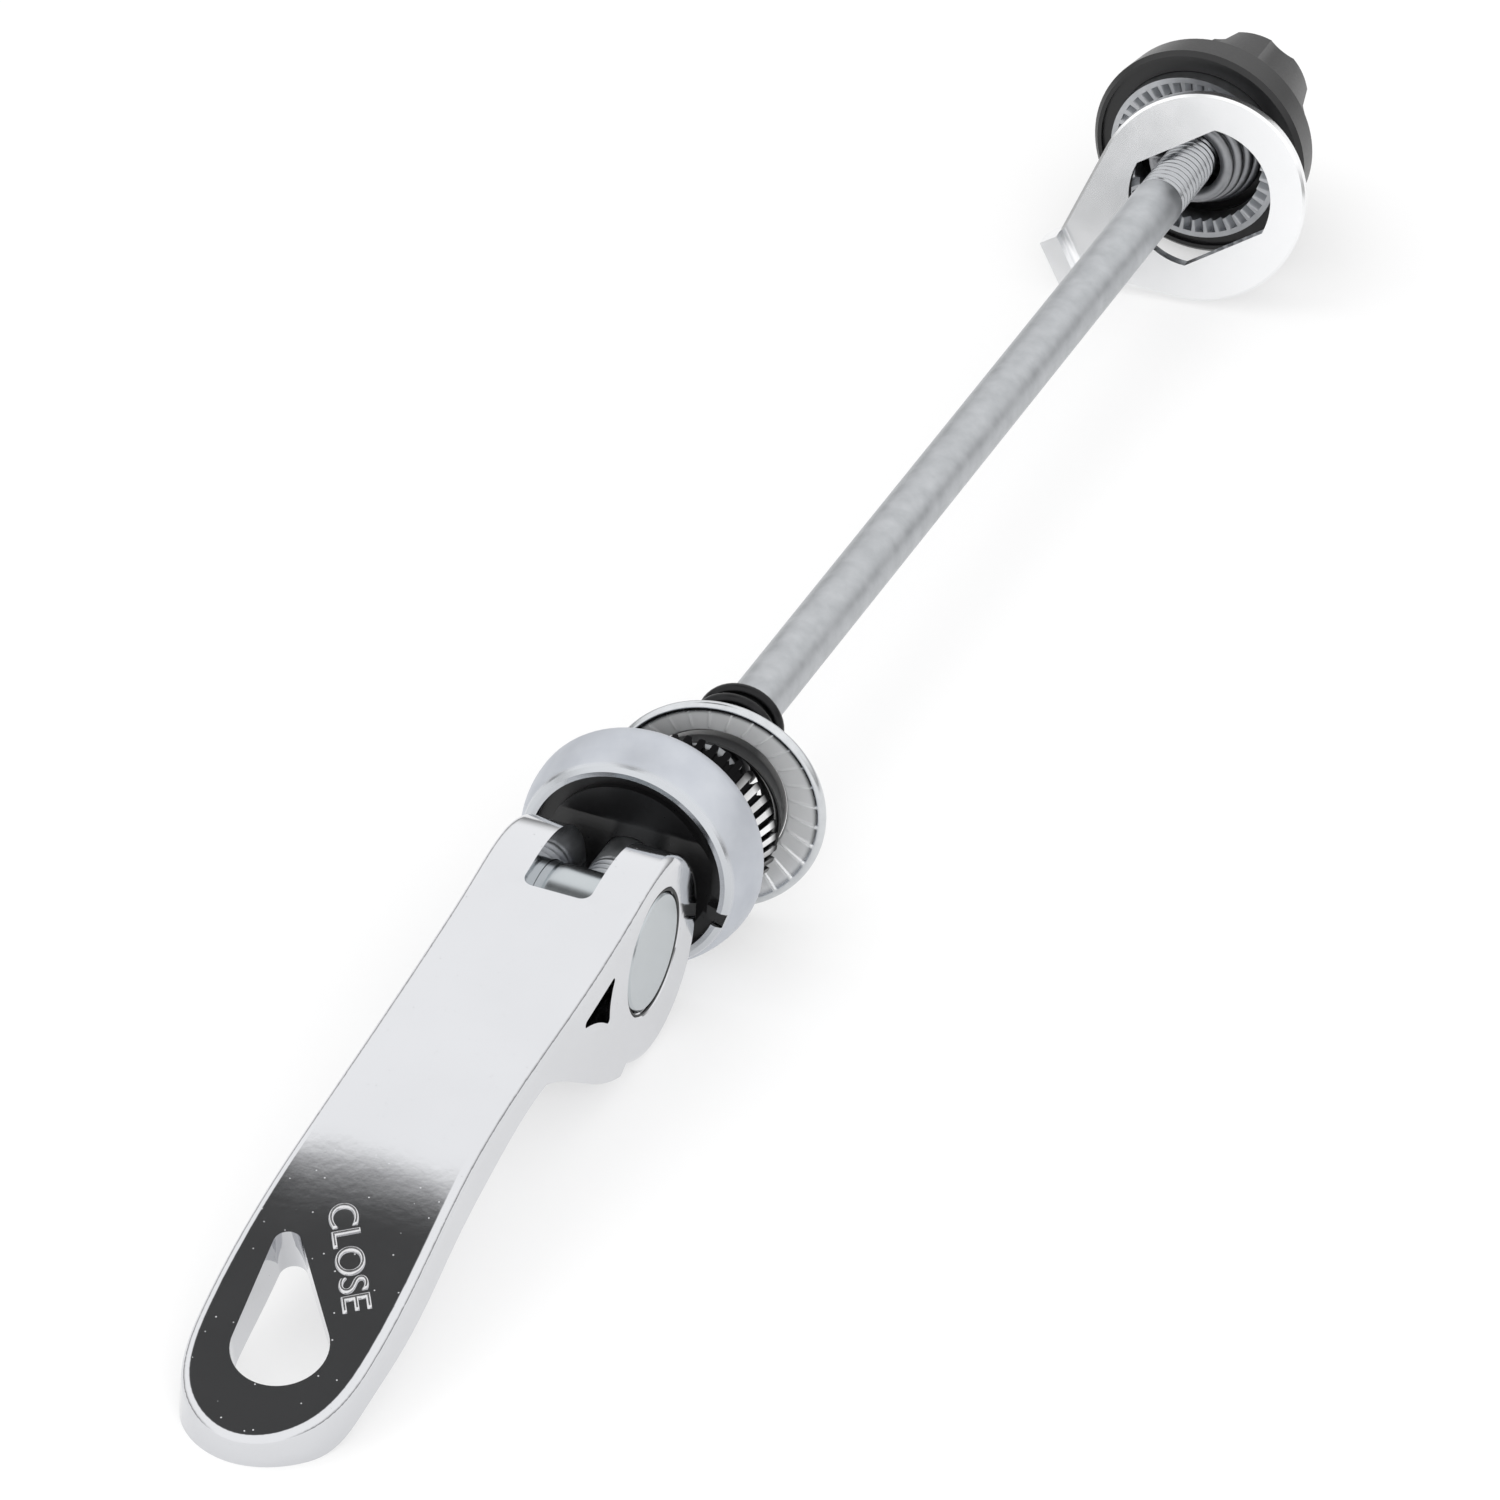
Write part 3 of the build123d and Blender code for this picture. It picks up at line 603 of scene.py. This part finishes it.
def flutes_with_painted_highlight(name, dark, bright, roughness):
    """Black metal, with a painted highlight on the crests of one side.

    A point is bright where its radius is above the flutes' roots, near one angle and before the ring's face.
    """
    material, tree, shader, coords = new_finish(name)
    axis = tuple(place((0, *RING_CENTRE)))
    across = add_node(tree, "ShaderNodeVectorMath", {0: coords, 1: axis}, operation="SUBTRACT").outputs[0]
    across = add_node(tree, "ShaderNodeVectorMath", {
        0: across, 1: (0, 1, 1),
    }, operation="MULTIPLY").outputs[0]
    radius = add_node(tree, "ShaderNodeVectorMath", {0: across}, operation="LENGTH").outputs["Value"]
    along = add_node(tree, "ShaderNodeSeparateXYZ", {"Vector": coords}).outputs["X"]
    root = add_node(tree, "ShaderNodeMapRange", {
        "Value": along, "From Min": along_rod(RING_START_X), "From Max": along_rod(RING_FACE_X),
        "To Min": RING_ROOT_START * MM, "To Max": RING_ROOT_END * MM,
    }).outputs["Result"]
    above = add_node(tree, "ShaderNodeMath", {0: radius, 1: root}, operation="SUBTRACT").outputs[0]
    crest = add_node(tree, "ShaderNodeMapRange", {
        "Value": above, "From Min": CREST_START * MM, "From Max": CREST_FULL * MM,
    }).outputs["Result"]
    side_angle = math.radians(RING_BRIGHT_ANGLE)
    outward = add_node(tree, "ShaderNodeVectorMath", {0: across}, operation="NORMALIZE").outputs[0]
    facing = add_node(tree, "ShaderNodeVectorMath", {
        0: outward, 1: (0, math.cos(side_angle), math.sin(side_angle)),
    }, operation="DOT_PRODUCT").outputs["Value"]
    side = add_node(tree, "ShaderNodeMapRange", {
        "Value": facing, "From Min": math.cos(math.radians(RING_BRIGHT_HALF + RING_BRIGHT_FADE)),
        "From Max": math.cos(math.radians(RING_BRIGHT_HALF - RING_BRIGHT_FADE)),
    }).outputs["Result"]
    bright_end = along_rod(RING_BRIGHT_END)
    before_face = add_node(tree, "ShaderNodeMapRange", {
        "Value": along, "From Min": bright_end + RING_END_FADE * MM,
        "From Max": bright_end - RING_END_FADE * MM,
    }).outputs["Result"]
    # painted highlight: white only on raised crests of one side, before the ring's face
    worn = add_node(tree, "ShaderNodeMath", {0: crest, 1: side}, operation="MULTIPLY").outputs[0]
    worn = add_node(tree, "ShaderNodeMath", {0: worn, 1: before_face}, operation="MULTIPLY").outputs[0]
    tone = add_node(tree, "ShaderNodeMix", {
        "Factor": worn, "A": linear(dark), "B": linear(bright),
    }, data_type="RGBA").outputs["Result"]
    shader.inputs["Metallic"].default_value = 1.0
    shader.inputs["Roughness"].default_value = roughness
    tree.links.new(tone, shader.inputs["Base Color"])
    return material


def dress(piece, material, angle=None):
    """Gives a piece its finish; a CAD node's loose facets are joined and shaded smooth up to angle."""
    piece.data.materials.clear()
    piece.data.materials.append(material)
    if angle is None:
        return
    weld = piece.modifiers.new("join facets", "WELD")
    weld.merge_threshold = JOIN_DISTANCE
    split = piece.modifiers.new("keep edges", "EDGE_SPLIT")
    split.split_angle = math.radians(angle)
    flat = piece.modifiers.new("flat faces stay flat", "WEIGHTED_NORMAL")
    flat.mode = "FACE_AREA"
    flat.weight = LARGE_FACE_WEIGHT
    piece.data.shade_smooth()


# Mirror of the room: light where the lever is flat, dark where the paddle bends away, hardly any grain, and
# a few tiny pits that glint
chrome = plated("chrome plate", "#D0D1D4", "#D6D7DA", patch=9.0, roughness=0.09, spread=0.015,
                grain=0.9, bump=0.006, pits=0.07)
# Cast letters whose plating has lost its mirror, so that they stay light on the dark paddle
worn_chrome = plated("worn chrome letters", "#C4C4C6", "#E2E2E4", patch=0.6, roughness=0.2, spread=0.06,
                     grain=0.3, bump=0.004)
# Pale blue-grey with soft highlights, a little cloudy, as on zinc that was only washed, and a rubbed bright
# rim: only that lies past the stretch, whose middle is taken far along the rod
RIM_WIDTH = 0.6
RIM_EDGE = span("lever_cup")[0] + RIM_WIDTH
FAR_ALONG = 100.0
zinc = plated("bluish zinc plate", "#BABEC6", "#D6D9DE", patch=3.0, roughness=0.53, spread=0.05,
              grain=0.3, bump=0.003, ends=(FAR_ALONG, FAR_ALONG - RIM_EDGE, "#C6C9CD", 0.2))
# Pale pressed zinc: bare metal on the rolled rim, and half matt on the face, which is painted lighter, with
# painted white highlights along its ridges
pressed_zinc = plated("pressed zinc", "#BEC1C4", "#DADCDE", patch=1.2, roughness=0.2, spread=0.06,
                      grain=0.3, bump=0.003, metallic=0.3, painted_light_colour="#F8F9FA")
# Plain light grey wire stock, with faint blotches and no mirror, and glossier on the nut's thread
dull_zinc = plated("dull zinc rod", "#9DA0A3", "#CACCCF", patch=1.6, roughness=0.42, spread=0.1,
                   grain=0.8, bump=0.012, ends=(ROD_START, NUT_THREAD_START - ROD_START, "#B2B4B7", 0.22))
# Almost white flat plate with a faint sheen
bright = plated("bright nickel plate", "#EFF0F1", "#F8F8F9", patch=3.0, roughness=0.2, spread=0.03,
                grain=0.4, bump=0.0008)
# Grey teeth that are lighter on their tops
cut_teeth = plated("plated cut teeth", "#A6A8AB", "#C4C6C9", patch=1.0, roughness=0.3, spread=0.05,
                   grain=0.3, bump=0.002)
# Even blue-grey turned metal, darker than the chrome round it
steel = plated("turned steel", "#B6BBBE", "#BEC3C6", patch=3.0, roughness=0.22, spread=0.03,
               grain=0.5, bump=0.0008)
# Black wire with one soft light line along each coil
black_wire = plated("black oxide wire", "#252526", "#363637", patch=1.0, roughness=0.33, spread=0.06,
                    grain=0.2, bump=0.003)
# Dull mid grey wire
grey_wire = plated("grey phosphate wire", "#86878A", "#A5A6A9", patch=1.0, roughness=0.4, spread=0.07,
                   grain=0.2, bump=0.003)
# Black flutes, with a painted white highlight on the crests of one side
black_ring = flutes_with_painted_highlight("black ring with painted crest highlights", "#141415", "#F4F4F5", roughness=0.25)
# Deep black with a satin gloss, and a light line where an edge catches the tent
nylon = moulded("black nylon", "#0C0C0D", "#141415", roughness=0.3, grain=0.25, bump=0.001)
# Charcoal with a satin sheen
abs_black = moulded("black satin ABS", "#0F0F10", "#181819", roughness=0.35, grain=0.3, bump=0.005)
# Painted shade: a dark line in the gap round the pivot
painted_gap_shade = moulded("painted gap shade", "#0E0E0F", "#1C1C1D", roughness=0.5, grain=0.3, bump=0.005)

rod_piece = rod()
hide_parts("skewer_rod")
dress(rod_piece, dull_zinc)
lever_coil = wire_spring("lever_coil", LEVER_SPRING_START, LEVER_SPRING_END, LEVER_SPRING_R, LEVER_WIRE_R,
                         LEVER_COILS, "cup")
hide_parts("lever_spring")
dress(lever_coil, black_wire)
nut_coil = wire_spring("nut_coil", NUT_SPRING_WIDE_END, NUT_SPRING_NARROW_END, NUT_SPRING_R, NUT_WIRE_R,
                       NUT_COILS, "nut_carrier")
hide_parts("nut_spring")
dress(nut_coil, grey_wire)
dish_piece = dish()
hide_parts("dish_washer")
dress(dish_piece, pressed_zinc)
lining_piece = lining()
dress(lining_piece, nylon)
# painted shade: dark crescents in the gaps round both ends of the barrel
dress(pivot_gap("pivot_gap_near", -1), painted_gap_shade)
dress(pivot_gap("pivot_gap_far", 1), painted_gap_shade)
word_piece = raised_word()
dress(word_piece, worn_chrome)

for node_name, finish, sharp_angle in [
    ("lever", chrome, EDGE_ANGLE),
    ("cam_barrel", steel, EDGE_ANGLE),
    ("lever_cup", zinc, EDGE_ANGLE),
    ("cam_saddle", nylon, EDGE_ANGLE),
    ("cup_ring", black_ring, TOOTH_ANGLE),
    ("hook_washer", bright, EDGE_ANGLE),
    ("nut_ring", cut_teeth, TOOTH_ANGLE),
    ("nut_body", abs_black, EDGE_ANGLE),
    ("nut_insert", steel, EDGE_ANGLE),
]:
    dress(nodes[node_name], finish, sharp_angle)


# Studio


def paper_floor():
    """Square of white paper under the skewer.

    To the camera and in mirrors a share of it glows, and the rest takes the skewer's shadow.
    """
    near, far = -FLOOR_HALF, FLOOR_HALF
    mesh = bpy.data.meshes.new("floor")
    mesh.from_pydata([(near, near, 0), (far, near, 0), (far, far, 0), (near, far, 0)], [], [(0, 1, 2, 3)])
    floor = bpy.data.objects.new("floor", mesh)
    bpy.context.scene.collection.objects.link(floor)
    paper = bpy.data.materials.new("white paper")
    paper.use_nodes = True
    tree = paper.node_tree
    tree.nodes.clear()
    matt = add_node(tree, "ShaderNodeBsdfDiffuse", {"Color": linear("#F6F6F6")}).outputs[0]
    glow = add_node(tree, "ShaderNodeEmission", {"Strength": 1.0}).outputs[0]
    ray = add_node(tree, "ShaderNodeLightPath").outputs
    seen = add_node(tree, "ShaderNodeMath", {
        0: ray["Is Camera Ray"], 1: ray["Is Glossy Ray"],
    }, operation="MAXIMUM").outputs[0]
    seen = add_node(tree, "ShaderNodeMath", {
        0: seen, 1: ray["Is Transmission Ray"],
    }, operation="MAXIMUM").outputs[0]
    share = add_node(tree, "ShaderNodeMath", {0: seen, 1: PAPER_GLOW}, operation="MULTIPLY").outputs[0]
    mixed = add_node(tree, "ShaderNodeMixShader", {"Fac": share, 1: matt, 2: glow}).outputs[0]
    add_node(tree, "ShaderNodeOutputMaterial", {"Surface": mixed})
    mesh.materials.append(paper)


def light_tent():
    """World of even white light, which mirrors see as a tent.

    Its wall is dim at the horizon, but white towards the lever's tip and above, where it has a dark slot.
    """
    world = bpy.data.worlds.new("light tent")
    bpy.context.scene.world = world
    world.use_nodes = True
    tree = world.node_tree
    tree.nodes.clear()
    way = add_node(tree, "ShaderNodeTexCoord").outputs["Generated"]
    parts = add_node(tree, "ShaderNodeSeparateXYZ", {"Vector": way}).outputs
    low_wall = add_node(tree, "ShaderNodeMapRange", {
        "Value": parts["X"], "From Min": FRONT_EDGE, "From Max": FRONT_CORE,
        "To Min": HORIZON_TONE, "To Max": TENT_TONE,
    }, interpolation_type="SMOOTHSTEP").outputs["Result"]
    wall = add_node(tree, "ShaderNodeMapRange", {
        "Value": parts["Z"], "From Min": 0.0, "From Max": TENT_RISE, "To Min": low_wall, "To Max": TENT_TONE,
    }, interpolation_type="SMOOTHSTEP").outputs["Result"]
    near_slot = add_node(tree, "ShaderNodeVectorMath", {
        0: way, 1: tuple(Vector(SLOT_WAY).normalized()),
    }, operation="DOT_PRODUCT").outputs["Value"]
    slot = add_node(tree, "ShaderNodeMapRange", {
        "Value": near_slot, "From Min": math.cos(math.radians(SLOT_EDGE)),
        "From Max": math.cos(math.radians(SLOT_CORE)), "To Min": 1.0, "To Max": SLOT_TONE,
    }, interpolation_type="SMOOTHSTEP").outputs["Result"]
    mirrored = add_node(tree, "ShaderNodeMath", {0: wall, 1: slot}, operation="MULTIPLY").outputs[0]
    glossy = add_node(tree, "ShaderNodeLightPath").outputs["Is Glossy Ray"]
    tone = add_node(tree, "ShaderNodeMix", {"Factor": glossy, "A": 1.0, "B": mirrored}).outputs["Result"]
    sky = add_node(tree, "ShaderNodeBackground", {"Color": tone, "Strength": 1.0})
    add_node(tree, "ShaderNodeOutputWorld", {"Surface": sky.outputs[0]})


def soft_lamps():
    """Square soft lamps that face the skewer."""
    for name, at, power in LAMPS:
        lamp_data = bpy.data.lights.new(name, "AREA")
        lamp_data.size = LAMP_SIZE
        lamp_data.energy = power
        lamp = bpy.data.objects.new(name, lamp_data)
        lamp.location = at
        lamp.rotation_euler = Vector(at).to_track_quat("Z", "Y").to_euler()
        lamp.visible_glossy = False
        bpy.context.scene.collection.objects.link(lamp)


def photo_camera():
    """Camera at the photograph's place and angle."""
    camera_data = bpy.data.cameras.new("camera")
    camera_data.sensor_width = SENSOR_WIDTH
    camera_data.lens = SENSOR_WIDTH * FOCAL_IN_WIDTHS
    camera_data.clip_start = CLIP_START
    camera_data.clip_end = CLIP_END
    camera = bpy.data.objects.new("camera", camera_data)
    forward = unit(CAMERA_FORWARD)
    right = unit(np.cross(forward, CAMERA_UP))
    up = np.cross(right, forward)
    turn = Matrix(np.stack([right, up, -forward], axis=1).tolist()).to_4x4()
    camera.matrix_world = Matrix.Translation(Vector(place(CAMERA_AT))) @ turn
    bpy.context.scene.collection.objects.link(camera)
    bpy.context.scene.camera = camera


paper_floor()
light_tent()
soft_lamps()
photo_camera()
bpy.context.scene.view_settings.view_transform = "Standard"
